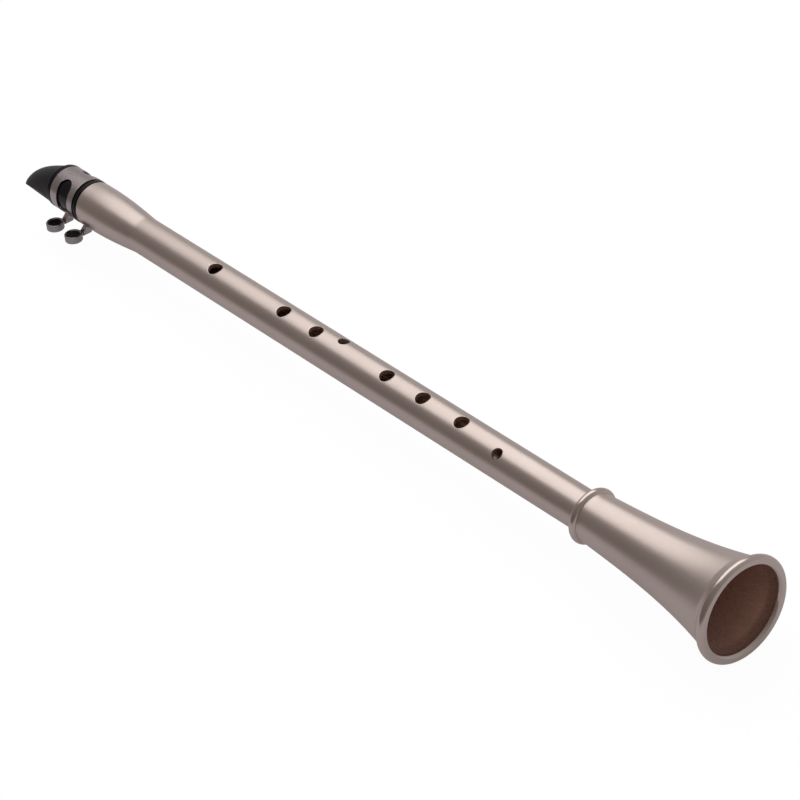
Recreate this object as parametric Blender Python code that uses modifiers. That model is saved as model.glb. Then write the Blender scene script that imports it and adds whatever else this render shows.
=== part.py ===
"""A pocket saxophone: a keyless tube with finger holes, a flared bell and a single-reed mouthpiece.

The axis of the tube runs along X, with the bell at +X and the finger holes facing +Z. The instrument
lies on the plane z = 0 on the rolled rim of its bell, and x = 0 is the middle of its length. Places
along the axis are given from the open end of the barrel, where the mouthpiece goes in.
"""
import math

import bmesh
import bpy
from mathutils import Matrix

# Gap that touching pieces keep
CLEARANCE = 0.0003

# Body tube, with its wider barrel at the mouthpiece end
BODY_LENGTH = 0.337
TUBE_OD = 0.0165
TUBE_BORE = 0.0128
BARREL_OD = 0.0207
BARREL_STRAIGHT = 0.006
BARREL_TAPER = 0.032
BARREL_EDGE = 0.0004
SOCKET_DEPTH = 0.0225

# Tone holes: large ones under the long fingers, small ones offset for the two little fingers.
# The first finger is the one beside the thumb.
FINGER_HOLE = 0.0065
LITTLE_HOLE = 0.0050
LEFT_FIRST = 0.0922
THUMB = 0.1157
LEFT_MIDDLE = 0.1391
LEFT_RING = 0.1605
LEFT_LITTLE = 0.1746
RIGHT_FIRST = 0.2058
RIGHT_MIDDLE = 0.2280
RIGHT_RING = 0.2514
RIGHT_LITTLE = 0.2756
LEFT_LITTLE_TURN = math.radians(-23.0)
RIGHT_LITTLE_TURN = math.radians(24.0)
THUMB_TURN = math.radians(180.0)

# Bell, a socket with a bead round its mouth and a flare that ends in a rolled rim
BELL_LENGTH = 0.0820
BELL_SOCKET = 0.0150
BELL_THROAT_OD = 0.0203
BELL_WALL = 0.0016
BELL_CONE_GROWTH = 0.0043
RIM_OD = 0.0437
RIM_ROLL = 0.0040
BEAD_OD = 0.0232
BEAD_ROLL = 0.0035
LEDGE_BORE = 0.0132
LEDGE_LENGTH = 0.0020

# Seal ring in its groove near the bell end of the tube
SEAL_SECTION = 0.0009
SEAL_FROM_END = 0.0060

# Mouthpiece, turned in the barrel as it was found
HEAD_TURN = math.radians(-11.3)
HEAD_LENGTH = 0.0475
BEAK_LENGTH = 0.0246
HEAD_FRONT_OD = 0.0186
HEAD_REAR_OD = 0.0193
FRONT_RING_PROUD = 0.0009
FRONT_RING_WIDTH = 0.0025
FRONT_RING_EDGE = 0.0005
BEAK_TIP_OD = 0.0170
BEAK_SIDES_OD = 0.0173
BEAK_BEND = 0.65
TIP_RADIUS = 0.0130
TIP_THICKNESS = 0.0021
TIP_DROP = 0.0058
HEEL_DROP = 0.0068
TIP_OPENING = 0.0006
FACING_LENGTH = 0.0175
COLLAR_WIDTH = 0.0027
COLLAR_ROUND = 0.0009
TENON_LENGTH = 0.0205
TENON_OD = 0.0144
HEAD_BORE = 0.0096
WINDOW_LENGTH = 0.0185
WINDOW_WIDTH = 0.0070
TIP_RAIL = 0.0014
BEAK_WALL = 0.0018
CHAMBER_WALL = 0.00288

# Cork sleeve in its recess on the tenon
CORK_WALL = 0.0008
CORK_RECESS = 0.0003
CORK_LENGTH = 0.0130
CORK_FROM_COLLAR = 0.0040

# Reed, a flat blade with a round back and a scraped front half
REED_FROM_COLLAR = 0.0022
REED_TIP_WIDTH = 0.0108
REED_HEEL_WIDTH = 0.0096
REED_TIP_THICKNESS = 0.00035
REED_STOCK = 0.0160

# Ligature, a split metal band drawn together by two thumb screws below the reed
BAND_WALL = 0.0005
BAND_SPLIT = 0.0070
SLOT_FROM_FRONT = 0.0048
SLOT_FROM_REAR = 0.0038
SLOT_TOP = math.radians(22.0)
SLOT_BOTTOM = math.radians(141.0)
FRONT_SCREW_FROM_FRONT = 0.0035
REAR_SCREW_PAST_REAR = 0.0010
SCREW_BELOW_RELIEF = 0.00165
LUG_WIDTH = 0.0028
LUG_EYE_OD = 0.0031
LUG_REACH = 0.0074
LUG_START = 0.0032
LUG_WEB_TOP = 0.0080
SHANK_OD = 0.0020
NECK_OD = 0.0026
COIN_OD = 0.0080
COIN_THICKNESS = 0.0033
COIN_EDGE = 0.0005
NECK_LENGTH = 0.0003

# Sides that a full round gets on the large and on the small pieces
ROUND_SIDES = 40
SMALL_SIDES = 20

# Places along the axis, from the open end of the barrel
BELL_START = BODY_LENGTH + CLEARANCE - BELL_SOCKET
BELL_END = BELL_START + BELL_LENGTH
HEAD_TIP = -HEAD_LENGTH
SHOULDER = HEAD_TIP + BEAK_LENGTH
COLLAR_START = -CLEARANCE - COLLAR_WIDTH
BAND_REAR = COLLAR_START - CLEARANCE
FRONT_RING_REAR = SHOULDER + FRONT_RING_WIDTH
BAND_FRONT = FRONT_RING_REAR + CLEARANCE
SLOT_WIDTH = BAND_REAR - BAND_FRONT - SLOT_FROM_FRONT - SLOT_FROM_REAR
AXIS_HEIGHT = RIM_OD / 2
MIDDLE = (BELL_END + HEAD_TIP) / 2

# Radii that pieces share
FRONT_RING_RADIUS = HEAD_FRONT_OD / 2 + FRONT_RING_PROUD
TENON_RADIUS = TENON_OD / 2
CORK_INNER = TENON_RADIUS - CORK_RECESS + CLEARANCE
CORK_OUTER = CORK_INNER + CORK_WALL
BARREL_SOCKET_RADIUS = CORK_OUTER + CLEARANCE
BELL_SOCKET_RADIUS = TUBE_OD / 2 + CLEARANCE
SEAL_OUTER = BELL_SOCKET_RADIUS - 0.8 * CLEARANCE
SEAL_CENTRE = SEAL_OUTER - SEAL_SECTION / 2
SEAL_GROOVE_RADIUS = SEAL_OUTER - SEAL_SECTION - 0.8 * CLEARANCE

# The lugs clear the band and the collar, and the screws lie below whichever stands out more
BAND_RELIEF = max(HEAD_FRONT_OD, HEAD_REAR_OD) / 2 + CLEARANCE + BAND_WALL + CLEARANCE
COLLAR_RELIEF = BARREL_OD / 2 + CLEARANCE
SCREW_DROP = max(COLLAR_RELIEF, BAND_RELIEF) + SCREW_BELOW_RELIEF


def mix(start, end, share):
    """Value that lies the given share of the way from start to end."""
    return start + (end - start) * share


def arc(centre, radius, first, last, steps):
    """Points (radius from the axis, place) round a centre, from one angle to another in degrees."""
    points = []
    for step in range(steps + 1):
        angle = math.radians(mix(first, last, step / steps))
        points.append((centre[0] + radius * math.cos(angle), centre[1] + radius * math.sin(angle)))
    return points


def head_radius(place):
    """Outer radius of the mouthpiece body at a place between its shoulder and its collar."""
    share = (place - SHOULDER) / (COLLAR_START - SHOULDER)
    return mix(HEAD_FRONT_OD, HEAD_REAR_OD, share) / 2


def band_inner(place):
    """Inner radius of the ligature band, which follows the taper of the mouthpiece."""
    return head_radius(place) + CLEARANCE


def table_drop(place):
    """Depth of the flat table below the axis, from the tip to the heel."""
    share = (place - HEAD_TIP) / (COLLAR_START - HEAD_TIP)
    return mix(TIP_DROP, HEEL_DROP, share)


def beak_height(place):
    """Height above the axis of the beak's crest, which swells from the tip to the shoulder."""
    share = (place - HEAD_TIP) / BEAK_LENGTH
    return mix(TIP_THICKNESS - TIP_DROP, HEAD_FRONT_OD / 2, share ** BEAK_BEND)


def clear_scene():
    for old in list(bpy.data.objects):
        bpy.data.objects.remove(old, do_unlink=True)


def make_collection(name):
    made = bpy.data.collections.new(name)
    bpy.context.scene.collection.children.link(made)
    return made


def make_material(name, colour, roughness, metallic):
    material = bpy.data.materials.new(name)
    material.use_nodes = True
    shader = material.node_tree.nodes["Principled BSDF"]
    shader.inputs["Base Color"].default_value = (*colour, 1.0)
    shader.inputs["Roughness"].default_value = roughness
    shader.inputs["Metallic"].default_value = metallic
    return material


def place_object(name, mesh, collection, material=None, parent=None, location=(0, 0, 0), turn=(0, 0, 0)):
    made = bpy.data.objects.new(name, mesh)
    collection.objects.link(made)
    made.parent = parent
    made.location = location
    made.rotation_euler = turn
    if material:
        mesh.materials.append(material)
    return made


def mesh_from(name, builder):
    mesh = bpy.data.meshes.new(name)
    builder.to_mesh(mesh)
    builder.free()
    return mesh


def outline_mesh(name, points):
    """Closed outline in the XZ plane, ready to be turned round Z."""
    builder = bmesh.new()
    corners = [builder.verts.new((radius, 0, height)) for radius, height in points]
    for number, corner in enumerate(corners):
        builder.edges.new((corner, corners[(number + 1) % len(corners)]))
    return mesh_from(name, builder)


def turned(name, points, collection, sides, material=None, parent=None, location=(0, 0, 0), turn=None):
    """Piece turned from a closed outline, with its axis along the parent's X unless a turn is given."""
    along_x = (0, math.pi / 2, 0)
    made = place_object(name, outline_mesh(name, points), collection, material, parent, location,
                        turn or along_x)
    screw = made.modifiers.new("turning", "SCREW")
    screw.axis = "Z"
    screw.steps = sides
    screw.render_steps = sides
    screw.use_merge_vertices = True
    screw.merge_threshold = 0.00001
    screw.use_smooth_shade = True
    return made


def rod_mesh(name, radius, length, sides):
    """Plain round rod along Z, centred on the origin."""
    builder = bmesh.new()
    bmesh.ops.create_cone(builder, cap_ends=True, segments=sides, radius1=radius, radius2=radius,
                          depth=length)
    return mesh_from(name, builder)


def sheet_mesh(name, outline, width):
    """Solid with an (x, z) side outline, as wide as given in Y."""
    builder = bmesh.new()
    corners = [builder.verts.new((x, -width / 2, z)) for x, z in outline]
    face = builder.faces.new(corners)
    grown = bmesh.ops.extrude_face_region(builder, geom=[face])
    moved = [item for item in grown["geom"] if isinstance(item, bmesh.types.BMVert)]
    bmesh.ops.translate(builder, verts=moved, vec=(0, width, 0))
    bmesh.ops.recalc_face_normals(builder, faces=builder.faces)
    return mesh_from(name, builder)


def as_cutter(made):
    made.hide_render = True
    made.display_type = "WIRE"
    return made


def cut(target, cutter, operation="DIFFERENCE"):
    step = target.modifiers.new(cutter.name, "BOOLEAN")
    step.object = cutter
    step.operation = operation
    step.solver = "EXACT"


def body_outline():
    """Wall of the body tube as (radius, place), down the outside from the bell end and back inside."""
    tube = TUBE_OD / 2
    barrel = BARREL_OD / 2
    groove_low = BODY_LENGTH - SEAL_FROM_END - SEAL_SECTION / 2 - CLEARANCE
    groove_high = groove_low + SEAL_SECTION + 2 * CLEARANCE
    points = [(tube, BODY_LENGTH), (tube, groove_high), (SEAL_GROOVE_RADIUS, groove_high)]
    points += [(SEAL_GROOVE_RADIUS, groove_low), (tube, groove_low)]
    steps = 8
    for step in range(steps + 1):
        share = 1 - step / steps
        swell = math.cos(share * math.pi / 2)
        points.append((mix(tube, barrel, swell), BARREL_STRAIGHT + BARREL_TAPER * share))
    points += arc((barrel - BARREL_EDGE, BARREL_EDGE), BARREL_EDGE, 0, -90, 3)
    points += [(BARREL_SOCKET_RADIUS, 0), (BARREL_SOCKET_RADIUS, SOCKET_DEPTH)]
    points += [(TUBE_BORE / 2, SOCKET_DEPTH), (TUBE_BORE / 2, BODY_LENGTH)]
    return points


def tone_holes():
    """Each tone hole as (place, diameter, turn from the top towards the far side)."""
    return [
        (LEFT_FIRST, FINGER_HOLE, 0.0),
        (THUMB, FINGER_HOLE, THUMB_TURN),
        (LEFT_MIDDLE, FINGER_HOLE, 0.0),
        (LEFT_RING, FINGER_HOLE, 0.0),
        (LEFT_LITTLE, LITTLE_HOLE, LEFT_LITTLE_TURN),
        (RIGHT_FIRST, FINGER_HOLE, 0.0),
        (RIGHT_MIDDLE, FINGER_HOLE, 0.0),
        (RIGHT_RING, FINGER_HOLE, 0.0),
        (RIGHT_LITTLE, LITTLE_HOLE, RIGHT_LITTLE_TURN),
    ]


def tone_hole_drill(cutters, parent):
    """One cutter with a rod for each tone hole, from inside the bore out past the wall."""
    builder = bmesh.new()
    inside = TUBE_BORE / 4
    outside = TUBE_OD
    for place, diameter, turn in tone_holes():
        middle = Matrix.Translation((0, 0, (inside + outside) / 2))
        where = Matrix.Translation((place, 0, 0)) @ Matrix.Rotation(turn, 4, "X") @ middle
        bmesh.ops.create_cone(builder, cap_ends=True, segments=SMALL_SIDES, radius1=diameter / 2,
                              radius2=diameter / 2, depth=outside - inside, matrix=where)
    mesh = mesh_from("tone_hole_drill", builder)
    return as_cutter(place_object("tone_hole_drill", mesh, cutters, parent=parent))


def make_body(parts, cutters, parent, metal):
    body = turned("body_tube", body_outline(), parts, ROUND_SIDES, metal, parent)
    cut(body, tone_hole_drill(cutters, parent))
    return body


def flare_radius(share):
    """Outer radius of the bell between its bead and its rim, part straight cone and part flare."""
    throat = BELL_THROAT_OD / 2
    mouth = RIM_OD / 2 - RIM_ROLL / 2
    flare_growth = mouth - throat - BELL_CONE_GROWTH
    return throat + BELL_CONE_GROWTH * share + flare_growth * share ** 3


def bell_outline():
    """Wall of the bell as (radius, place), down the outside from the rim and back inside."""
    roll = RIM_ROLL / 2
    rim_centre = (RIM_OD / 2 - roll, BELL_END - roll * math.cos(math.radians(22.5)))
    bead = BEAD_ROLL / 2
    bead_centre = (BEAD_OD / 2 - bead, BELL_START + bead)
    points = arc(rim_centre, roll, 67.5, -67.5, 6)
    flare_top = rim_centre[1] - roll * math.sin(math.radians(67.5))
    flare_foot = bead_centre[1] + bead
    steps = 10
    for step in range(1, steps + 1):
        share = 1 - step / steps
        points.append((flare_radius(share), mix(flare_foot, flare_top, share)))
    points += arc(bead_centre, bead, 60, -90, 5)
    points += [(BELL_SOCKET_RADIUS, BELL_START), (BELL_SOCKET_RADIUS, BELL_START + BELL_SOCKET)]
    ledge = BELL_START + BELL_SOCKET
    points += [(LEDGE_BORE / 2, ledge), (LEDGE_BORE / 2, ledge + LEDGE_LENGTH)]
    inner_foot = ledge + LEDGE_LENGTH
    steps = 8
    for step in range(1, steps + 1):
        place = mix(inner_foot, flare_top, step / steps)
        share = (place - flare_foot) / (flare_top - flare_foot)
        wall = mix(flare_radius(share) - LEDGE_BORE / 2, BELL_WALL, min(1.0, 3 * step / steps))
        points.append((flare_radius(share) - wall, place))
    points += arc(rim_centre, roll, 157.5, 112.5, 1)
    return points


def make_bell(parts, parent, metal):
    return turned("bell", bell_outline(), parts, ROUND_SIDES, metal, parent)


def make_seal(parts, parent, rubber):
    place = BODY_LENGTH - SEAL_FROM_END
    outline = arc((SEAL_CENTRE, place), SEAL_SECTION / 2, 360, 45, 7)
    return turned("bell_seal_ring", outline, parts, ROUND_SIDES, rubber, parent)


def head_outline():
    """Outside of the mouthpiece blank as (radius, place), down from the tenon to the shoulder."""
    tenon_end = COLLAR_START + COLLAR_WIDTH + CLEARANCE + TENON_LENGTH
    collar_end = COLLAR_START + COLLAR_WIDTH
    collar = BARREL_OD / 2
    recess_low = collar_end + CORK_FROM_COLLAR
    recess_high = recess_low + CORK_LENGTH + 2 * CLEARANCE
    recess = TENON_RADIUS - CORK_RECESS
    points = [(0, tenon_end), (TENON_RADIUS - COLLAR_ROUND, tenon_end)]
    points += [(TENON_RADIUS, tenon_end - COLLAR_ROUND), (TENON_RADIUS, recess_high)]
    points += [(recess, recess_high), (recess, recess_low), (TENON_RADIUS, recess_low)]
    points += [(TENON_RADIUS, collar_end)]
    points += arc((collar - COLLAR_ROUND, collar_end - COLLAR_ROUND), COLLAR_ROUND, 90, 0, 3)
    points += arc((collar - COLLAR_ROUND, COLLAR_START + COLLAR_ROUND), COLLAR_ROUND, 0, -90, 3)
    ring = FRONT_RING_RADIUS
    points += [(head_radius(COLLAR_START), COLLAR_START)]
    points += [(head_radius(FRONT_RING_REAR), FRONT_RING_REAR), (ring, FRONT_RING_REAR)]
    points += arc((ring - FRONT_RING_EDGE, SHOULDER + FRONT_RING_EDGE), FRONT_RING_EDGE, 0, -90, 2)
    points += [(head_radius(SHOULDER), SHOULDER), (0, SHOULDER)]
    return points


def table_cutter(cutters, parent):
    """Takes off everything below the flat table and its facing curve."""
    low = -2 * BARREL_OD
    outline = [(COLLAR_START, low), (COLLAR_START, -table_drop(COLLAR_START))]
    facing_start = HEAD_TIP + FACING_LENGTH
    steps = 5
    for step in range(steps + 1):
        place = mix(facing_start, HEAD_TIP - TIP_THICKNESS, step / steps)
        lift = TIP_OPENING * (step / steps) ** 2
        outline.append((place, lift - table_drop(place)))
    outline.append((HEAD_TIP - TIP_THICKNESS, low))
    mesh = sheet_mesh("table_cutter", outline, 3 * BARREL_OD)
    return as_cutter(place_object("table_cutter", mesh, cutters, parent=parent))


def loft(name, rings):
    """Closed solid through rings of points that all have the same count."""
    builder = bmesh.new()
    corners = [[builder.verts.new(point) for point in ring] for ring in rings]
    count = len(corners[0])
    for one, other in zip(corners, corners[1:]):
        for number in range(count):
            after = (number + 1) % count
            builder.faces.new((one[number], one[after], other[after], other[number]))
    builder.faces.new(corners[0])
    builder.faces.new(corners[-1])
    bmesh.ops.recalc_face_normals(builder, faces=builder.faces)
    return mesh_from(name, builder)


def beak_sides(cutters, parent):
    """Cone about the axis that the sides of the beak lie on."""
    front = HEAD_TIP - TIP_THICKNESS
    root = SHOULDER + 2 * FRONT_RING_EDGE
    root_radius = FRONT_RING_RADIUS - FRONT_RING_EDGE
    outline = [(0, root), (root_radius, root), (BEAK_SIDES_OD / 2, front), (0, front)]
    return as_cutter(turned("beak_sides", outline, cutters, ROUND_SIDES, parent=parent))


def beak_blank(cutters, parent):
    """Beak with a domed back whose round sections sink below the axis towards the tip."""
    rings = []
    steps = 10
    for step in range(steps + 1):
        share = (step / steps) ** 1.5
        place = HEAD_TIP + BEAK_LENGTH * share
        radius = mix(BEAK_TIP_OD, HEAD_FRONT_OD, share) / 2
        middle = beak_height(place) - radius
        ring = []
        for side in range(ROUND_SIDES):
            angle = 2 * math.pi * side / ROUND_SIDES
            ring.append((place, radius * math.sin(angle), middle + radius * math.cos(angle)))
        rings.append(ring)
    rings.append([(SHOULDER + FRONT_RING_EDGE, across, height) for place, across, height in rings[-1]])
    blank = as_cutter(place_object("beak_blank", loft("beak_blank", rings), cutters, parent=parent))
    cut(blank, beak_sides(cutters, parent), "INTERSECT")
    return blank


def tip_cutter(cutters, parent):
    """Takes off the corners of the beak, so that its tip is round in the view from above."""
    front = HEAD_TIP - TIP_THICKNESS
    side = HEAD_FRONT_OD / 2
    outline = [(front, side), (front, -side)]
    steps = 16
    for step in range(steps + 1):
        across = mix(-side, side, step / steps)
        outline.append((HEAD_TIP + TIP_RADIUS - math.sqrt(TIP_RADIUS ** 2 - across ** 2), across))
    mesh = sheet_mesh("tip_cutter", outline, 4 * BARREL_OD)
    return as_cutter(place_object("tip_cutter", mesh, cutters, parent=parent, turn=(math.pi / 2, 0, 0)))


def window_cutter(cutters, parent):
    """Wedge-shaped chamber that opens in the table below the reed."""
    front = HEAD_TIP + TIP_RAIL
    back = front + WINDOW_LENGTH
    low = -2 * TIP_DROP
    outline = [(front, low), (front, -table_drop(front) + TIP_OPENING + TIP_RAIL / 2)]
    steps = 4
    for step in range(1, steps + 1):
        place = mix(front, back, step / steps)
        outline.append((place, beak_height(place) - mix(BEAK_WALL, CHAMBER_WALL, step / steps)))
    outline.append((back, low))
    mesh = sheet_mesh("window_cutter", outline, WINDOW_WIDTH)
    return as_cutter(place_object("window_cutter", mesh, cutters, parent=parent))


def head_bore_cutter(cutters, parent):
    """Round bore from the end of the tenon to the chamber."""
    start = HEAD_TIP + TIP_RAIL + WINDOW_LENGTH - WINDOW_WIDTH / 4
    end = TENON_LENGTH + HEAD_BORE
    mesh = rod_mesh("head_bore_cutter", HEAD_BORE / 2, end - start, SMALL_SIDES)
    made = place_object("head_bore_cutter", mesh, cutters, parent=parent,
                        location=((start + end) / 2, 0, 0), turn=(0, math.pi / 2, 0))
    return as_cutter(made)


def make_head(parts, cutters, parent, ebonite):
    head = turned("mouthpiece", head_outline(), parts, ROUND_SIDES, ebonite, parent)
    cut(head, beak_blank(cutters, parent), "UNION")
    cut(head, table_cutter(cutters, parent))
    cut(head, tip_cutter(cutters, parent))
    cut(head, head_bore_cutter(cutters, parent))
    cut(head, window_cutter(cutters, parent))
    return head


def make_cork(parts, parent, cork):
    low = COLLAR_START + COLLAR_WIDTH + CORK_FROM_COLLAR + CLEARANCE
    high = low + CORK_LENGTH
    outline = [(CORK_OUTER, high), (CORK_OUTER, low), (CORK_INNER, low), (CORK_INNER, high)]
    return turned("tenon_cork", outline, parts, ROUND_SIDES, cork, parent)


def reed_section(place, start, end):
    """Half width, height of the flat, thickness and back radius of the reed at a place along it."""
    share = (place - start) / (end - start)
    half_width = mix(REED_TIP_WIDTH, REED_HEEL_WIDTH, share) / 2
    stock_start = end - REED_STOCK
    scraped = min(1.0, (place - start) / (stock_start - start))
    flat = table_drop(place) + CLEARANCE
    back = max(band_inner(place), band_inner(BAND_FRONT)) - CLEARANCE
    full = back - flat
    thickness = mix(REED_TIP_THICKNESS, full, scraped ** 1.5)
    return half_width, flat, thickness, back


def reed_tip_half_width(place, start, half_width):
    """Half width of the reed where its end is rounded to match the tip of the beak."""
    left = TIP_RADIUS - min(place - start, TIP_RADIUS)
    return min(half_width, math.sqrt(TIP_RADIUS ** 2 - left ** 2))


def make_reed(parts, parent, cane):
    """Blade lofted through sections that are flat on the table side and round on the back."""
    start = HEAD_TIP + TIP_THICKNESS / 4
    end = COLLAR_START - REED_FROM_COLLAR
    tip_steps = 5
    tip_end = TIP_RADIUS - math.sqrt(TIP_RADIUS ** 2 - (REED_TIP_WIDTH / 2) ** 2)
    first = REED_TIP_THICKNESS / 8
    places = [start + mix(first, tip_end, step / tip_steps) for step in range(tip_steps + 1)]
    body_steps = 8
    places += [mix(start + tip_end, end, step / body_steps) for step in range(1, body_steps + 1)]
    across_steps = 6
    rings = []
    for place in places:
        half_width, flat, thickness, back = reed_section(place, start, end)
        half_width = reed_tip_half_width(place, start, half_width)
        ring = [(place, half_width, -flat), (place, -half_width, -flat)]
        for step in range(across_steps + 1):
            across = mix(-half_width, half_width, step / across_steps)
            sag = back - math.sqrt(back ** 2 - across ** 2)
            rise = max(thickness - sag * thickness / (back - flat), REED_TIP_THICKNESS / 2)
            ring.append((place, across, -flat - rise))
        rings.append(ring)
    return place_object("reed", loft("reed", rings), parts, cane, parent)


def ring_sector(name, outline, first, last, steps):
    """Solid swept round X from one angle to another; angles are measured from the top."""
    builder = bmesh.new()
    corners = [builder.verts.new((place, 0, radius)) for radius, place in outline]
    builder.faces.new(corners)
    bmesh.ops.rotate(builder, verts=builder.verts, cent=(0, 0, 0), matrix=Matrix.Rotation(first, 3, "X"))
    bmesh.ops.spin(builder, geom=builder.faces[:] + builder.edges[:] + builder.verts[:], cent=(0, 0, 0),
                   axis=(1, 0, 0), angle=last - first, steps=steps)
    bmesh.ops.recalc_face_normals(builder, faces=builder.faces)
    return mesh_from(name, builder)


def slot_cutter(side, cutters, parent):
    """Long slot with round ends in one side of the band."""
    middle = BAND_FRONT + SLOT_FROM_FRONT + SLOT_WIDTH / 2
    radius = band_inner(middle)
    end_angle = SLOT_WIDTH / 2 / radius
    first = side * (SLOT_TOP + end_angle)
    last = side * (SLOT_BOTTOM - end_angle)
    inner = radius / 2
    outer = radius * 1.5
    low = middle - SLOT_WIDTH / 2
    high = middle + SLOT_WIDTH / 2
    outline = [(inner, low), (outer, low), (outer, high), (inner, high)]
    steps = 10
    name = "near_slot" if side > 0 else "far_slot"
    sweep = ring_sector(name, outline, min(first, last), max(first, last), steps)
    made = as_cutter(place_object(name, sweep, cutters, parent=parent))
    ends = []
    for number, angle in enumerate((first, last)):
        rod = rod_mesh(name + "_end", SLOT_WIDTH / 2, outer - inner, SMALL_SIDES)
        turned_out = Matrix.Rotation(angle, 4, "X")
        where = Matrix.Translation((middle, 0, 0)) @ turned_out
        where = where @ Matrix.Translation((0, 0, (inner + outer) / 2))
        rod.transform(where)
        end_name = f"{name}_end_{number + 1}"
        ends.append(as_cutter(place_object(end_name, rod, cutters, parent=parent)))
    return [made] + ends


def make_band(parts, cutters, parent, metal):
    """Split band, open below the reed, with a long slot in each side."""
    inner_front = band_inner(BAND_FRONT)
    inner_rear = band_inner(BAND_REAR)
    outline = [(inner_front, BAND_FRONT), (inner_front + BAND_WALL, BAND_FRONT)]
    outline += [(inner_rear + BAND_WALL, BAND_REAR), (inner_rear, BAND_REAR)]
    half_gap = math.asin(BAND_SPLIT / 2 / inner_front)
    mesh = ring_sector("ligature_band", outline, half_gap - math.pi, math.pi - half_gap, 36)
    band = place_object("ligature_band", mesh, parts, metal, parent)
    for side in (1, -1):
        for cutter in slot_cutter(side, cutters, parent):
            cut(band, cutter)
    return band


def lug_relief(cutters, parent):
    """Space of the band and the collar, kept out of the lugs."""
    front = BAND_FRONT - LUG_WIDTH
    rear = BAND_REAR + LUG_REACH
    outline = [(0, rear), (COLLAR_RELIEF, rear), (COLLAR_RELIEF, BAND_REAR), (BAND_RELIEF, BAND_REAR)]
    outline += [(BAND_RELIEF, front), (0, front)]
    return as_cutter(turned("lug_relief", outline, cutters, ROUND_SIDES, parent=parent))


def lug_bore(name, place, cutters, parent):
    mesh = rod_mesh(name, SHANK_OD / 2 + CLEARANCE, 4 * LUG_REACH, SMALL_SIDES)
    made = place_object(name, mesh, cutters, parent=parent, location=(place, 0, -SCREW_DROP),
                        turn=(math.pi / 2, 0, 0))
    return as_cutter(made)


def lug_eye(name, side, cutters, axis):
    """Round eye of a lug, along the screw."""
    radius = LUG_EYE_OD / 2
    outline = [(0, LUG_REACH), (radius, LUG_REACH), (radius, LUG_START), (0, LUG_START)]
    eye = turned(name + "_eye", outline, cutters, SMALL_SIDES, parent=axis,
                 turn=(-side * math.pi / 2, 0, 0))
    return as_cutter(eye)


def make_lug(name, place, side, parts, cutters, parent, metal, relief, bore):
    """Ear with a round eye, fixed below the edge of the band, and a web that rises to it."""
    low = -SCREW_DROP
    root = side * (LUG_START + CLEARANCE)
    reach = side * (LUG_REACH - CLEARANCE)
    outline = [(root, low), (reach, low), (reach, low + LUG_EYE_OD / 4), (root, -LUG_WEB_TOP)]
    mesh = sheet_mesh(name, outline, LUG_WIDTH)
    axis = place_object(name + "_axis", None, parts, parent=parent, location=(place, 0, 0))
    lug = place_object(name, mesh, parts, metal, axis, turn=(0, 0, math.pi / 2))
    eye_axis = place_object(name + "_eye_axis", None, cutters, parent=axis, location=(0, 0, low))
    cut(lug, lug_eye(name, side, cutters, eye_axis), "UNION")
    cut(lug, relief)
    cut(lug, bore)
    return lug


def make_screw(name, place, parts, cutters, parent, metal):
    """Thumb screw: a shank through both lugs and a coin-shaped head that stands in line with it."""
    neck_start = -LUG_REACH - CLEARANCE
    coin_centre = neck_start - NECK_LENGTH - COIN_OD / 2
    axis = place_object(name + "_axis", None, parts, parent=parent, location=(place, 0, -SCREW_DROP))
    builder = bmesh.new()
    bmesh.ops.create_cone(builder, cap_ends=True, segments=2 * SMALL_SIDES, radius1=COIN_OD / 2,
                          radius2=COIN_OD / 2, depth=COIN_THICKNESS)
    rims = [edge for edge in builder.edges if abs(edge.verts[0].co.z - edge.verts[1].co.z) < CLEARANCE]
    bmesh.ops.bevel(builder, geom=rims, offset=COIN_EDGE, segments=2, affect="EDGES")
    bmesh.ops.translate(builder, verts=builder.verts, vec=(0, coin_centre, 0))
    screw = place_object(name, mesh_from(name, builder), parts, metal, axis)
    neck = (NECK_OD / 2, -neck_start)
    outline = [(0, -coin_centre), (NECK_OD / 2, -coin_centre), neck, (SHANK_OD / 2, -neck_start)]
    outline += [(SHANK_OD / 2, -LUG_REACH), (0, -LUG_REACH)]
    shank = turned(name + "_shank", outline, cutters, SMALL_SIDES, parent=axis,
                   turn=(math.pi / 2, 0, 0))
    cut(screw, as_cutter(shank), "UNION")
    return screw


def make_ligature(parts, cutters, parent, metal, screw_metal):
    make_band(parts, cutters, parent, metal)
    relief = lug_relief(cutters, parent)
    screws = {
        "front": BAND_FRONT + FRONT_SCREW_FROM_FRONT,
        "rear": BAND_REAR + REAR_SCREW_PAST_REAR,
    }
    for row, place in screws.items():
        bore = lug_bore(row + "_lug_bore", place, cutters, parent)
        for label, side in (("near", -1), ("far", 1)):
            make_lug(f"{row}_{label}_lug", place, side, parts, cutters, parent, metal, relief, bore)
        make_screw(row + "_thumb_screw", place, parts, cutters, parent, screw_metal)


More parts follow.
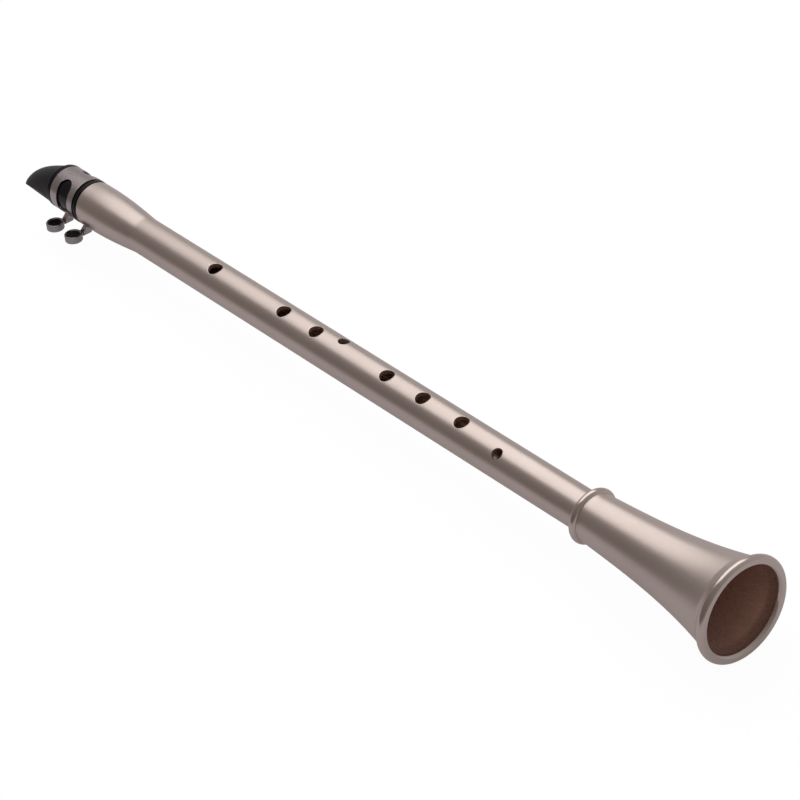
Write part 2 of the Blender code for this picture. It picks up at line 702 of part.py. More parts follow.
def build():
    clear_scene()
    parts = make_collection("pocket_saxophone")
    cutters = make_collection("cutters")
    champagne = make_material("champagne_metal", (0.62, 0.50, 0.43), 0.32, 1.0)
    ebonite = make_material("black_ebonite", (0.022, 0.020, 0.022), 0.28, 0.0)
    nickel = make_material("ligature_metal", (0.58, 0.53, 0.50), 0.30, 1.0)
    screw_metal = make_material("screw_metal", (0.45, 0.43, 0.43), 0.22, 1.0)
    rubber = make_material("seal_rubber", (0.02, 0.02, 0.02), 0.7, 0.0)
    cork = make_material("tenon_cork", (0.42, 0.27, 0.15), 0.85, 0.0)
    cane = make_material("reed_cane", (0.72, 0.56, 0.30), 0.55, 0.0)

    axis = place_object("body_axis", None, parts, location=(-MIDDLE, 0, AXIS_HEIGHT))
    head_axis = place_object("mouthpiece_axis", None, parts, parent=axis, turn=(HEAD_TURN, 0, 0))
    make_body(parts, cutters, axis, champagne)
    make_bell(parts, axis, champagne)
    make_seal(parts, axis, rubber)
    make_cork(parts, head_axis, cork)
    make_head(parts, cutters, head_axis, ebonite)
    make_reed(parts, head_axis, cane)
    make_ligature(parts, cutters, head_axis, nickel, screw_metal)
    bpy.context.view_layer.update()


build()
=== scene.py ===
# %% [markdown]
# # A pocket saxophone
# The instrument is a plain metal tube with finger holes. A bell pulls off at one end, and a black
# mouthpiece with a flat reed goes in at the other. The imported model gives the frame. Every piece
# below is made in that frame, in metres, so it lands where the model says.

# %% Load the frame
import math

import bpy
from mathutils import Matrix, Vector


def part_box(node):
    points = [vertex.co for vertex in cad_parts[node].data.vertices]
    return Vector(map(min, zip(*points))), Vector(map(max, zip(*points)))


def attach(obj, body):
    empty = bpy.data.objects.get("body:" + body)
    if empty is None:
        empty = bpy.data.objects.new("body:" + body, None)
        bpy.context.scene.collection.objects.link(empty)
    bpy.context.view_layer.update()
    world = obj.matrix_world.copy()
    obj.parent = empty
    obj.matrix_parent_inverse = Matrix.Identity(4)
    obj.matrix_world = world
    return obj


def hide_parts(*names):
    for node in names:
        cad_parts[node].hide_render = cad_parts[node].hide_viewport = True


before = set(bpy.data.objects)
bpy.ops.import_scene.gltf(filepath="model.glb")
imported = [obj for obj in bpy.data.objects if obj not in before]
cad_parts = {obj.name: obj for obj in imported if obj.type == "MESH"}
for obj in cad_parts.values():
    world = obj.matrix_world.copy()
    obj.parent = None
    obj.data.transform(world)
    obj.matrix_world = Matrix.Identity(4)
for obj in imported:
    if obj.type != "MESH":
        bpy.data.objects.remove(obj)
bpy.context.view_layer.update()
print("nodes in the frame:", sorted(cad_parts))

# %% [markdown]
# The long axis runs along X, with the bell at +X. The body tube's own box tells where the barrel
# opens, where the tube ends and how high the axis lies. The mouthpiece was found turned a little
# in the barrel, with its top leaning to the far side.

# %% Read the main places from the frame
tube_low, tube_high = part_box("body_tube")
bell_low, bell_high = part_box("bell")
BARREL_MOUTH = tube_low[0]
TUBE_END = tube_high[0]
AXIS_HEIGHT = (tube_low[2] + tube_high[2]) / 2
BARREL_RADIUS = (tube_high[2] - tube_low[2]) / 2
BELL_START = bell_low[0]
BELL_END = bell_high[0]
RIM_RADIUS = (bell_high[2] - bell_low[2]) / 2
HEAD_TURN = math.radians(-11.3)
GAP = 0.0003
print("barrel opens at", round(BARREL_MOUTH, 4), "and the axis is", round(AXIS_HEIGHT, 4), "high")

# %% [markdown]
# Most pieces are round, as if they came off a lathe. A ring of points is drawn out step by step:
# each step pulls the ring along the axis and opens or closes it to the next radius. Where the
# outline comes back to its start, the last ring is merged with the first and the wall is closed.

# %% Lathe helpers
def deselect():
    bpy.ops.object.select_all(action="DESELECT")


def only(piece):
    deselect()
    piece.select_set(True)
    bpy.context.view_layer.objects.active = piece


def draw_rings(name, sections, sides, closed):
    """Piece drawn out through round sections of (place, radius, height of the middle)."""
    deselect()
    place, radius, height = sections[0]
    bpy.ops.mesh.primitive_circle_add(vertices=sides, radius=radius, location=(place, 0, height),
                                      rotation=(0, math.pi / 2, 0))
    piece = bpy.context.object
    piece.name = name
    bpy.ops.object.transform_apply(location=True, rotation=True, scale=True)
    bpy.ops.object.mode_set(mode="EDIT")
    for before, after in zip(sections, sections[1:]):
        old_place, old_radius, old_height = before
        place, radius, height = after
        step = (place - old_place, 0, height - old_height)
        bpy.ops.mesh.extrude_edges_move(TRANSFORM_OT_translate={"value": step})
        factor = radius / old_radius
        bpy.ops.transform.resize(value=(1, factor, factor), center_override=(place, 0, height))
    bpy.ops.mesh.select_all(action="SELECT")
    bpy.ops.mesh.remove_doubles(threshold=0.000002)
    if not closed:
        bpy.ops.mesh.fill_holes(sides=0)
    bpy.ops.mesh.select_all(action="SELECT")
    bpy.ops.mesh.normals_make_consistent(inside=False)
    bpy.ops.object.mode_set(mode="OBJECT")
    return piece


def lathe(name, outline, sides=96, closed=True):
    """Piece drawn out round the X axis along (place, radius) points."""
    return draw_rings(name, [(place, radius, 0) for place, radius in outline], sides, closed)


def apply_modifiers(piece):
    only(piece)
    for step in list(piece.modifiers):
        bpy.ops.object.modifier_apply(modifier=step.name)


def carve(piece, tool, operation="DIFFERENCE"):
    """Cuts the tool out of the piece, or joins it on, and takes the tool away."""
    step = piece.modifiers.new("carving", "BOOLEAN")
    step.object = tool
    step.operation = operation
    step.solver = "EXACT"
    apply_modifiers(piece)
    bpy.data.objects.remove(tool, do_unlink=True)


def soften(piece, width, segments=2, angle=30):
    """Rounds the hard edges."""
    step = piece.modifiers.new("softening", "BEVEL")
    step.width = width
    step.segments = segments
    step.limit_method = "ANGLE"
    step.angle_limit = math.radians(angle)
    apply_modifiers(piece)


def shade(piece, angle=35):
    """Smooth shading that large faces lead, so that small ones beside a cut leave no smear."""
    only(piece)
    bpy.ops.object.shade_smooth_by_angle(angle=math.radians(angle))
    step = piece.modifiers.new("even shading", "WEIGHTED_NORMAL")
    step.keep_sharp = True
    step.weight = 80
    apply_modifiers(piece)


def settle(piece, turn=0.0):
    """Lifts a piece made about the X axis onto the instrument's axis and turns it there, for good."""
    only(piece)
    piece.matrix_world = Matrix.Translation((0, 0, AXIS_HEIGHT)) @ Matrix.Rotation(turn, 4, "X")
    bpy.ops.object.transform_apply(location=True, rotation=True, scale=True)


def arc(place, radius, size, first, last, steps):
    """Points round a centre at (place, radius); 0 degrees faces outwards and 90 faces the bell."""
    points = []
    for step in range(steps + 1):
        angle = math.radians(first + (last - first) * step / steps)
        points.append((place + size * math.sin(angle), radius + size * math.cos(angle)))
    return points


def mix(start, end, share):
    return start + (end - start) * share


# %% [markdown]
# The finish of the tube and the bell is a satin champagne metal. Its colour comes from the base
# colour, its soft sheen from the roughness. Fine noise, drawn out along the tube as the grain of
# the brushing is, varies the roughness a little, and a very low bump breaks up the highlight.

# %% Finishes
def new_finish(name, metallic, roughness, colour=None):
    finish = bpy.data.materials.new(name)
    finish.use_nodes = True
    shader = finish.node_tree.nodes["Principled BSDF"]
    shader.inputs["Metallic"].default_value = metallic
    shader.inputs["Roughness"].default_value = roughness
    if colour:
        shader.inputs["Base Color"].default_value = (*colour, 1)
    return finish, finish.node_tree, shader


def add_node(tree, kind, **settings):
    node = tree.nodes.new(kind)
    for key, value in settings.items():
        node.inputs[key].default_value = value
    return node


def grain(tree, stretch, scale, detail=4.0):
    """Noise on the piece's own coordinates, stretched by (x, y, z)."""
    place = tree.nodes.new("ShaderNodeTexCoord")
    mapping = add_node(tree, "ShaderNodeMapping", Scale=stretch)
    noise = add_node(tree, "ShaderNodeTexNoise", Scale=scale, Detail=detail)
    tree.links.new(place.outputs["Object"], mapping.inputs["Vector"])
    tree.links.new(mapping.outputs["Vector"], noise.inputs["Vector"])
    return noise


def vary_colour(tree, shader, noise, dark, light):
    ramp = tree.nodes.new("ShaderNodeValToRGB")
    ramp.color_ramp.elements[0].color = (*dark, 1)
    ramp.color_ramp.elements[1].color = (*light, 1)
    ramp.color_ramp.elements[0].position = 0.3
    ramp.color_ramp.elements[1].position = 0.7
    tree.links.new(noise.outputs["Fac"], ramp.inputs["Fac"])
    tree.links.new(ramp.outputs["Color"], shader.inputs["Base Color"])


def vary_roughness(tree, shader, noise, low, high):
    spread = add_node(tree, "ShaderNodeMapRange")
    spread.inputs["To Min"].default_value = low
    spread.inputs["To Max"].default_value = high
    tree.links.new(noise.outputs["Fac"], spread.inputs["Value"])
    tree.links.new(spread.outputs["Result"], shader.inputs["Roughness"])


def add_bump(tree, shader, noise, height):
    bump = add_node(tree, "ShaderNodeBump", Strength=0.4, Distance=height)
    tree.links.new(noise.outputs["Fac"], bump.inputs["Height"])
    tree.links.new(bump.outputs["Normal"], shader.inputs["Normal"])


def champagne_finish(name, low, high, dark, light, metallic=1.0):
    finish, tree, shader = new_finish(name, metallic, low)
    vary_colour(tree, shader, grain(tree, (0.5, 1, 1), 60.0), dark, light)
    vary_roughness(tree, shader, grain(tree, (0.2, 1, 1), 900.0), low, high)
    add_bump(tree, shader, grain(tree, (0.3, 1, 1), 2500.0), 0.00001)
    return finish


CHAMPAGNE = champagne_finish("satin_champagne", 0.30, 0.38, (0.63, 0.535, 0.485), (0.67, 0.575, 0.525))
POLISHED_CHAMPAGNE = champagne_finish("polished_champagne", 0.18, 0.25, (0.63, 0.535, 0.485),
                                      (0.67, 0.575, 0.525))
# Inner walls of the bore, the finger holes and the bell get a darker, browner, less metallic copy of the
# champagne: painted shade and painted reflection inside the hollows.
INNER_WALL_PAINTED_SHADE = champagne_finish("inner_wall_painted_shade", 0.24, 0.32, (0.62, 0.44, 0.36), (0.66, 0.47, 0.39), 0.6)
LIGATURE_METAL = champagne_finish("ligature_metal", 0.24, 0.32, (0.44, 0.39, 0.385), (0.49, 0.44, 0.43))
SCREW_METAL = champagne_finish("screw_metal", 0.16, 0.24, (0.34, 0.315, 0.315), (0.38, 0.355, 0.355))
# The dished faces of the thumb screws get a near-black metal, which is a painted dark reflection.
DISH_PAINTED_DARK = champagne_finish("dish_painted_dark", 0.25, 0.35, (0.030, 0.028, 0.030), (0.045, 0.040, 0.043))


EBONITE_GLOSS = 0.20


def ebonite_finish(name, low, high):
    finish, tree, shader = new_finish(name, 0.0, low)
    shader.inputs["Specular IOR Level"].default_value = EBONITE_GLOSS
    vary_colour(tree, shader, grain(tree, (1, 1, 1), 300.0), (0.006, 0.0050, 0.007), (0.011, 0.009, 0.0125))
    vary_roughness(tree, shader, grain(tree, (1, 1, 1), 700.0), low, high)
    add_bump(tree, shader, grain(tree, (1, 1, 1), 1800.0), 0.00001)
    return finish


EBONITE = ebonite_finish("matte_ebonite", 0.36, 0.46)
GLOSSY_EBONITE = ebonite_finish("glossy_ebonite", 0.14, 0.22)


def plain_finish(name, dark, light, roughness, stretch, scale, height):
    finish, tree, shader = new_finish(name, 0.0, roughness)
    noise = grain(tree, stretch, scale, 6.0)
    vary_colour(tree, shader, noise, dark, light)
    add_bump(tree, shader, noise, height)
    return finish


CANE = plain_finish("reed_cane", (0.50, 0.34, 0.14), (0.66, 0.50, 0.25), 0.5, (0.04, 1, 1), 1800.0, 0.00003)
CORK = plain_finish("tenon_cork", (0.22, 0.11, 0.05), (0.50, 0.30, 0.15), 0.85, (1, 1, 1), 900.0, 0.00008)
RUBBER = plain_finish("seal_rubber", (0.010, 0.010, 0.010), (0.022, 0.022, 0.022), 0.65, (1, 1, 1),
                      600.0, 0.00002)


def finish_with(piece, finish):
    piece.data.materials.clear()
    piece.data.materials.append(finish)


print("finishes made:", len(bpy.data.materials))

# %% [markdown]
# The body tube is one long wall. Its outline runs down the outside from the barrel to the bell end
# and back up the bore. The barrel keeps its width for a few millimetres, then narrows in a soft
# S-curve. A groove near the far end holds the seal ring.

# %% Body tube
TUBE_RADIUS = 0.00825
BORE_RADIUS = 0.0064
BARREL_STRAIGHT = 0.006
BARREL_TAPER = 0.032
SOCKET_RADIUS = 0.0083
SOCKET_DEPTH = 0.0225
EDGE = 0.0004
RING_SPACING = 0.0015
SEAL_PLACE = 0.0060
SEAL_SECTION = 0.0009
SEAL_CENTRE = TUBE_RADIUS + 0.2 * GAP - SEAL_SECTION / 2
GROOVE_HALF = SEAL_SECTION / 2 + GAP
GROOVE_RADIUS = SEAL_CENTRE - SEAL_SECTION / 2 - 0.8 * GAP


def tube_outline():
    points = arc(BARREL_MOUTH + EDGE, BARREL_RADIUS - EDGE, EDGE, -90, 0, 6)
    steps = 28
    for step in range(steps + 1):
        share = step / steps
        swell = math.cos(share * math.pi / 2)
        place = BARREL_MOUTH + BARREL_STRAIGHT + BARREL_TAPER * share
        points.append((place, mix(TUBE_RADIUS, BARREL_RADIUS, swell)))
    groove = TUBE_END - SEAL_PLACE
    taper_end = BARREL_MOUTH + BARREL_STRAIGHT + BARREL_TAPER
    rings = round((groove - GROOVE_HALF - taper_end) / RING_SPACING)
    for ring in range(1, rings):
        points.append((mix(taper_end, groove - GROOVE_HALF, ring / rings), TUBE_RADIUS))
    points += [(groove - GROOVE_HALF, TUBE_RADIUS), (groove - GROOVE_HALF, GROOVE_RADIUS)]
    points += [(groove + GROOVE_HALF, GROOVE_RADIUS), (groove + GROOVE_HALF, TUBE_RADIUS)]
    points += [(TUBE_END - EDGE, TUBE_RADIUS), (TUBE_END, TUBE_RADIUS - EDGE), (TUBE_END, BORE_RADIUS)]
    points += [(BARREL_MOUTH + SOCKET_DEPTH, BORE_RADIUS), (BARREL_MOUTH + SOCKET_DEPTH, SOCKET_RADIUS)]
    points += [(BARREL_MOUTH + EDGE / 2, SOCKET_RADIUS), (BARREL_MOUTH, SOCKET_RADIUS + EDGE / 2)]
    return points + points[:1]


body = lathe("body_of_the_tube", tube_outline())
print("body tube points:", len(body.data.vertices))

# %% [markdown]
# The finger holes are drilled in one row along the top. The two small ones for the little fingers
# sit a little to each side, and the thumb's hole is underneath. Each drill is a plain cylinder
# that is set on its way out of the bore. The rims are then eased, and that gives each hole its
# thin bright edge.

# %% Finger holes
FINGER_HOLE = 0.0065
LITTLE_HOLE = 0.0050
HOLES = [
    (0.0922, FINGER_HOLE, 0),
    (0.1157, FINGER_HOLE, 180),
    (0.1391, FINGER_HOLE, 0),
    (0.1605, FINGER_HOLE, 0),
    (0.1746, LITTLE_HOLE, -23),
    (0.2058, FINGER_HOLE, 0),
    (0.2280, FINGER_HOLE, 0),
    (0.2514, FINGER_HOLE, 0),
    (0.2756, LITTLE_HOLE, 24),
]
HOLE_EASE = 0.00022
for place, width, turn in HOLES:
    deselect()
    bpy.ops.mesh.primitive_cylinder_add(vertices=48, radius=width / 2, depth=3 * BORE_RADIUS)
    drill = bpy.context.object
    outward = Matrix.Translation((0, 0, 2 * BORE_RADIUS))
    turned = Matrix.Rotation(math.radians(turn), 4, "X")
    drill.matrix_world = Matrix.Translation((BARREL_MOUTH + place, 0, 0)) @ turned @ outward
    bpy.ops.object.transform_apply(location=True, rotation=True, scale=True)
    carve(body, drill)
soften(body, HOLE_EASE)
body.data.materials.append(CHAMPAGNE)
body.data.materials.append(INNER_WALL_PAINTED_SHADE)
# The bore and the walls of the finger holes take the painted shade finish.
for face in body.data.polygons:
    middle = face.center
    reach = math.hypot(middle.y, middle.z)
    if reach < TUBE_RADIUS - 2 * HOLE_EASE and BARREL_MOUTH < middle.x < TUBE_END - SEAL_PLACE:
        face.material_index = 1
shade(body)
settle(body)
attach(body, "tube")
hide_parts("body_tube")
print("finger holes:", len(HOLES))

# %% [markdown]
# A thin rubber ring lies in the groove and grips the bell's socket from inside.

# %% Seal ring
groove_place = TUBE_END - SEAL_PLACE
seal = lathe("seal_in_the_groove", arc(groove_place, SEAL_CENTRE, SEAL_SECTION / 2, 0, 360, 20))
finish_with(seal, RUBBER)
shade(seal, 60)
settle(seal)
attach(seal, "tube")
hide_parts("bell_seal_ring")

# %% [markdown]
# The bell is a thin wall too. A bead rings the mouth of its socket. Then the wall opens, first as
# a straight cone and near the end as a fast flare, which a cubic term gives. The rim is rolled
# round, with a small flat in front that the bell can stand on.

# %% Bell
RIM_ROLL = 0.0020
BEAD_ROLL = 0.00175
BEAD_RADIUS = 0.0116
THROAT_RADIUS = 0.01015
CONE_GROWTH = 0.0043
BELL_WALL = 0.0016
BELL_SOCKET = 0.0150
BELL_SOCKET_RADIUS = TUBE_RADIUS + GAP
LEDGE_RADIUS = 0.0066
LEDGE_LENGTH = 0.0020
rim_place = BELL_END - RIM_ROLL * math.cos(math.radians(22.5))
rim_middle = RIM_RADIUS - RIM_ROLL
flare_foot = BELL_START + 2 * BEAD_ROLL
flare_top = rim_place - RIM_ROLL * math.sin(math.radians(67.5))


def flare(place):
    """Outer radius of the bell at a place between its bead and its rim."""
    share = (place - flare_foot) / (flare_top - flare_foot)
    growth = rim_middle - THROAT_RADIUS - CONE_GROWTH
    return THROAT_RADIUS + CONE_GROWTH * share + growth * share ** 3


def bell_outline():
    bead_place = BELL_START + BEAD_ROLL
    bead_middle = BEAD_RADIUS - BEAD_ROLL
    points = [(BELL_START, BELL_SOCKET_RADIUS + EDGE / 2)]
    points += arc(bead_place, bead_middle, BEAD_ROLL, -90, 75, 20)
    steps = 44
    for step in range(1, steps):
        place = mix(flare_foot, flare_top, step / steps)
        points.append((place, flare(place)))
    points += arc(rim_place, rim_middle, RIM_ROLL, -62, 67.5, 20)
    points += arc(rim_place, rim_middle, RIM_ROLL, 112.5, 200, 12)
    ledge = BELL_START + BELL_SOCKET
    for step in range(1, steps):
        place = mix(flare_top, ledge + LEDGE_LENGTH, step / steps)
        wall = mix(flare(place) - LEDGE_RADIUS, BELL_WALL, min(1.0, 3 * (1 - step / steps)))
        points.append((place, flare(place) - wall))
    points += [(ledge + LEDGE_LENGTH, LEDGE_RADIUS), (ledge, LEDGE_RADIUS), (ledge, BELL_SOCKET_RADIUS)]
    points += [(BELL_START + EDGE / 2, BELL_SOCKET_RADIUS)]
    return points + points[:1]


bell = lathe("flared_bell", bell_outline(), 160)
bell.data.materials.append(CHAMPAGNE)
bell.data.materials.append(POLISHED_CHAMPAGNE)
bell.data.materials.append(INNER_WALL_PAINTED_SHADE)
# The rim and the bead take the polished finish, and the inside of the bell takes the painted shade finish.
for face in bell.data.polygons:
    middle = face.center
    outward = Vector((0, middle.y, middle.z)).dot(face.normal)
    if middle.x > flare_top or middle.x < flare_foot:
        face.material_index = 1
    if outward < 0 and middle.x < rim_place:
        face.material_index = 2
shade(bell, 50)
settle(bell)
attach(bell, "bell_body")
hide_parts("bell")
print("bell from", round(BELL_START, 4), "to", round(BELL_END, 4))

# %% [markdown]
# The mouthpiece starts as a turned black blank with its tenon, collar, body and front ring. The
# beak is drawn out of it through round sections that shrink a little and sink towards the tip, so
# its back is domed and its crest swells, as it does on the real one. Its sides lie on a plain cone
# about the axis.

# %% Mouthpiece blank
HEAD_LENGTH = 0.0475
BEAK_LENGTH = 0.0246
HEAD_FRONT_RADIUS = 0.0093
HEAD_REAR_RADIUS = 0.00965
BEAK_TIP_RADIUS = 0.0085
BEAK_SIDES_RADIUS = 0.00865
BEAK_BEND = 0.65
TIP_RADIUS = 0.0130
TIP_THICKNESS = 0.0021
TIP_DROP = 0.0058
HEEL_DROP = 0.0068
COLLAR_WIDTH = 0.0027
COLLAR_ROUND = 0.0009
TENON_RADIUS = 0.0072
TENON_LENGTH = 0.0205
CORK_RECESS = 0.0003
CORK_LENGTH = 0.0130
CORK_FROM_COLLAR = 0.0040
HEAD_BORE_RADIUS = 0.0048
FRONT_RING_RADIUS = 0.0102
FRONT_RING_EDGE = 0.0005
RING_REAR = 0.0204
collar_start = BARREL_MOUTH - GAP - COLLAR_WIDTH
collar_end = collar_start + COLLAR_WIDTH
head_tip = BARREL_MOUTH - HEAD_LENGTH
shoulder = head_tip + BEAK_LENGTH
tenon_end = collar_end + GAP + TENON_LENGTH
ring_rear = BARREL_MOUTH - RING_REAR


def head_radius(place):
    share = (place - shoulder) / (collar_start - shoulder)
    return mix(HEAD_FRONT_RADIUS, HEAD_REAR_RADIUS, share)


def head_outline():
    points = []
    points.append((shoulder, HEAD_FRONT_RADIUS))
    ring_middle = FRONT_RING_RADIUS - FRONT_RING_EDGE
    points += arc(shoulder + FRONT_RING_EDGE, ring_middle, FRONT_RING_EDGE, -90, 0, 6)
    points += arc(ring_rear - FRONT_RING_EDGE, ring_middle, FRONT_RING_EDGE, 0, 90, 6)
    points += [(ring_rear, head_radius(ring_rear)), (collar_start, HEAD_REAR_RADIUS)]
    points += arc(collar_start + COLLAR_ROUND, BARREL_RADIUS - COLLAR_ROUND, COLLAR_ROUND, -90, 0, 8)
    points += arc(collar_end - COLLAR_ROUND, BARREL_RADIUS - COLLAR_ROUND, COLLAR_ROUND, 0, 90, 8)
    recess_start = collar_end + CORK_FROM_COLLAR
    recess_end = recess_start + CORK_LENGTH + 2 * GAP
    recess = TENON_RADIUS - CORK_RECESS
    points += [(collar_end, TENON_RADIUS), (recess_start, TENON_RADIUS), (recess_start, recess)]
    points += [(recess_end, recess), (recess_end, TENON_RADIUS)]
    points += [(tenon_end - COLLAR_ROUND, TENON_RADIUS), (tenon_end, TENON_RADIUS - COLLAR_ROUND)]
    return points


def beak_height(place):
    """Height of the crest of the beak above the axis."""
    share = max(0.0, (place - head_tip) / BEAK_LENGTH)
    return mix(TIP_THICKNESS - TIP_DROP, HEAD_FRONT_RADIUS, share ** BEAK_BEND)


beak_sections = []
for step in range(29):
    share = (step / 28) ** 1.5
    place = head_tip + BEAK_LENGTH * share
    radius = mix(BEAK_TIP_RADIUS, HEAD_FRONT_RADIUS, share)
    beak_sections.append((place, radius, beak_height(place) - radius))
beak_sections.append((shoulder + FRONT_RING_EDGE, HEAD_FRONT_RADIUS, 0))
beak = draw_rings("beak", beak_sections, 96, closed=False)
cone = [(head_tip - TIP_THICKNESS, BEAK_SIDES_RADIUS)]
cone.append((shoulder + 2 * FRONT_RING_EDGE, FRONT_RING_RADIUS - FRONT_RING_EDGE))
carve(beak, lathe("beak_sides", cone, 96, closed=False), "INTERSECT")
head = lathe("black_mouthpiece", head_outline(), 96, closed=False)
carve(head, beak, "UNION")
print("mouthpiece from", round(head_tip, 4), "to", round(tenon_end, 4))

# %% [markdown]
# The cuts are made with slabs. The side outline of a slab is drawn point by point, filled, and
# pulled out across the instrument. One side of each outline follows the cut, and the rest stays
# well outside the mouthpiece.

# %% Drawn slabs
TIP_OPENING = 0.0006
FACING_LENGTH = 0.0175
OUTSIDE = 0.030


def drawn_slab(name, outline, width, level=False):
    """Solid with a side outline of (place, height) points; a level one has (place, across)."""
    deselect()
    bpy.ops.mesh.primitive_plane_add(size=TIP_THICKNESS)
    tool = bpy.context.object
    tool.name = name
    bpy.ops.object.mode_set(mode="EDIT")
    bpy.ops.mesh.merge(type="CENTER")
    place, height = outline[0]
    bpy.ops.transform.translate(value=(place, -width / 2, height))
    for (old_place, old_height), (place, height) in zip(outline, outline[1:]):
        step = (place - old_place, 0, height - old_height)
        bpy.ops.mesh.extrude_vertices_move(TRANSFORM_OT_translate={"value": step})
    bpy.ops.mesh.select_all(action="SELECT")
    bpy.ops.mesh.edge_face_add()
    bpy.ops.mesh.extrude_region_move(TRANSFORM_OT_translate={"value": (0, width, 0)})
    bpy.ops.mesh.select_all(action="SELECT")
    bpy.ops.mesh.normals_make_consistent(inside=False)
    bpy.ops.object.mode_set(mode="OBJECT")
    if level:
        tool.rotation_euler = (math.pi / 2, 0, 0)
        only(tool)
        bpy.ops.object.transform_apply(location=True, rotation=True, scale=True)
    return tool


def table_drop(place):
    share = (place - head_tip) / (collar_start - head_tip)
    return mix(TIP_DROP, HEEL_DROP, share)


# %% [markdown]
# The table is cut first. It runs flat under the ligature, and near the tip it bends away from the
# reed, so that the reed can beat. Then the corners come off, and the tip is round from above.

# %% Table and tip
table = [(collar_start, -OUTSIDE), (collar_start, -table_drop(collar_start))]
facing_start = head_tip + FACING_LENGTH
for step in range(13):
    place = mix(facing_start, head_tip - TIP_THICKNESS, step / 12)
    table.append((place, TIP_OPENING * (step / 12) ** 2 - table_drop(place)))
table.append((head_tip - TIP_THICKNESS, -OUTSIDE))
carve(head, drawn_slab("table_slab", table, OUTSIDE))

front = head_tip - TIP_THICKNESS
corners = [(front, HEAD_FRONT_RADIUS), (front, -HEAD_FRONT_RADIUS)]
for step in range(33):
    across = mix(-HEAD_FRONT_RADIUS, HEAD_FRONT_RADIUS, step / 32)
    corners.append((head_tip + TIP_RADIUS - math.sqrt(TIP_RADIUS ** 2 - across ** 2), across))
carve(head, drawn_slab("corner_slab", corners, 2 * OUTSIDE, level=True))

# %% [markdown]
# A round bore runs from the tenon to the wedge-shaped chamber, and the chamber opens under the
# reed. After the cuts all hard edges are eased, because hand-finished ebonite has none.

# %% Bore and window
WINDOW_LENGTH = 0.0185
WINDOW_WIDTH = 0.0070
TIP_RAIL = 0.0014
BEAK_WALL = 0.0018
CHAMBER_WALL = 0.00288
HEAD_EASE = 0.00025
window_front = head_tip + TIP_RAIL
window_back = window_front + WINDOW_LENGTH
bore_start = window_back - WINDOW_WIDTH / 4
bore_end = tenon_end + HEAD_BORE_RADIUS
deselect()
bpy.ops.mesh.primitive_cylinder_add(vertices=64, radius=HEAD_BORE_RADIUS, depth=bore_end - bore_start,
                                    location=((bore_start + bore_end) / 2, 0, 0),
                                    rotation=(0, math.pi / 2, 0))
bore = bpy.context.object
bpy.ops.object.transform_apply(location=True, rotation=True, scale=True)
carve(head, bore)
window = [(window_front, -2 * TIP_DROP)]
window.append((window_front, -table_drop(window_front) + TIP_OPENING + TIP_RAIL / 2))
for step in range(1, 11):
    place = mix(window_front, window_back, step / 10)
    window.append((place, beak_height(place) - mix(BEAK_WALL, CHAMBER_WALL, step / 10)))
window.append((window_back, -2 * TIP_DROP))
carve(head, drawn_slab("window_slab", window, WINDOW_WIDTH))
soften(head, HEAD_EASE)
head.data.materials.append(EBONITE)
head.data.materials.append(GLOSSY_EBONITE)
for face in head.data.polygons:
    middle = face.center
    reach = math.hypot(middle.y, middle.z)
    if shoulder < middle.x < collar_end + EDGE and reach > head_radius(middle.x) - EDGE:
        face.material_index = 1
shade(head)
settle(head, HEAD_TURN)
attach(head, "head")
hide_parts("mouthpiece")
print("mouthpiece faces:", len(head.data.polygons))

# %% [markdown]
# A sleeve of cork on the tenon holds the mouthpiece in the barrel. It is wrapped round and slides
# with the mouthpiece when the player tunes.

# %% Tenon cork
CORK_WALL = 0.0008
cork_start = collar_end + CORK_FROM_COLLAR + GAP
cork_end = cork_start + CORK_LENGTH
cork_inner = TENON_RADIUS - CORK_RECESS + GAP
cork_outer = cork_inner + CORK_WALL
sleeve = [(cork_start, cork_inner), (cork_start, cork_outer - EDGE / 2)]
sleeve += [(cork_start + EDGE / 2, cork_outer), (cork_end - EDGE / 2, cork_outer)]
sleeve += [(cork_end, cork_outer - EDGE / 2), (cork_end, cork_inner)]
cork = lathe("cork_on_the_tenon", sleeve + sleeve[:1])
finish_with(cork, CORK)
shade(cork)
settle(cork, HEAD_TURN)
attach(cork, "cork_slide")
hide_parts("tenon_cork")

# %% [markdown]
# A reed is split from a round stick of cane. It is made the same way here: a round rod is kept
# only where it meets two drawn slabs. The first gives the side view, flat against the table and
# scraped thin towards the tip. The second gives the view from below, with the tip rounded like
# the tip of the beak.

# %% Reed
REED_FROM_COLLAR = 0.0022
REED_TIP_WIDTH = 0.0108
REED_HEEL_WIDTH = 0.0096
REED_TIP_THICKNESS = 0.00035
REED_STOCK = 0.0160
BAND_FRONT = 0.0201
REED_EASE = 0.0001
reed_start = head_tip + TIP_THICKNESS / 4
reed_end = collar_start - REED_FROM_COLLAR
band_front = BARREL_MOUTH - BAND_FRONT
band_rear = collar_start - GAP


def reed_back(place):
    return head_radius(max(place, band_front))


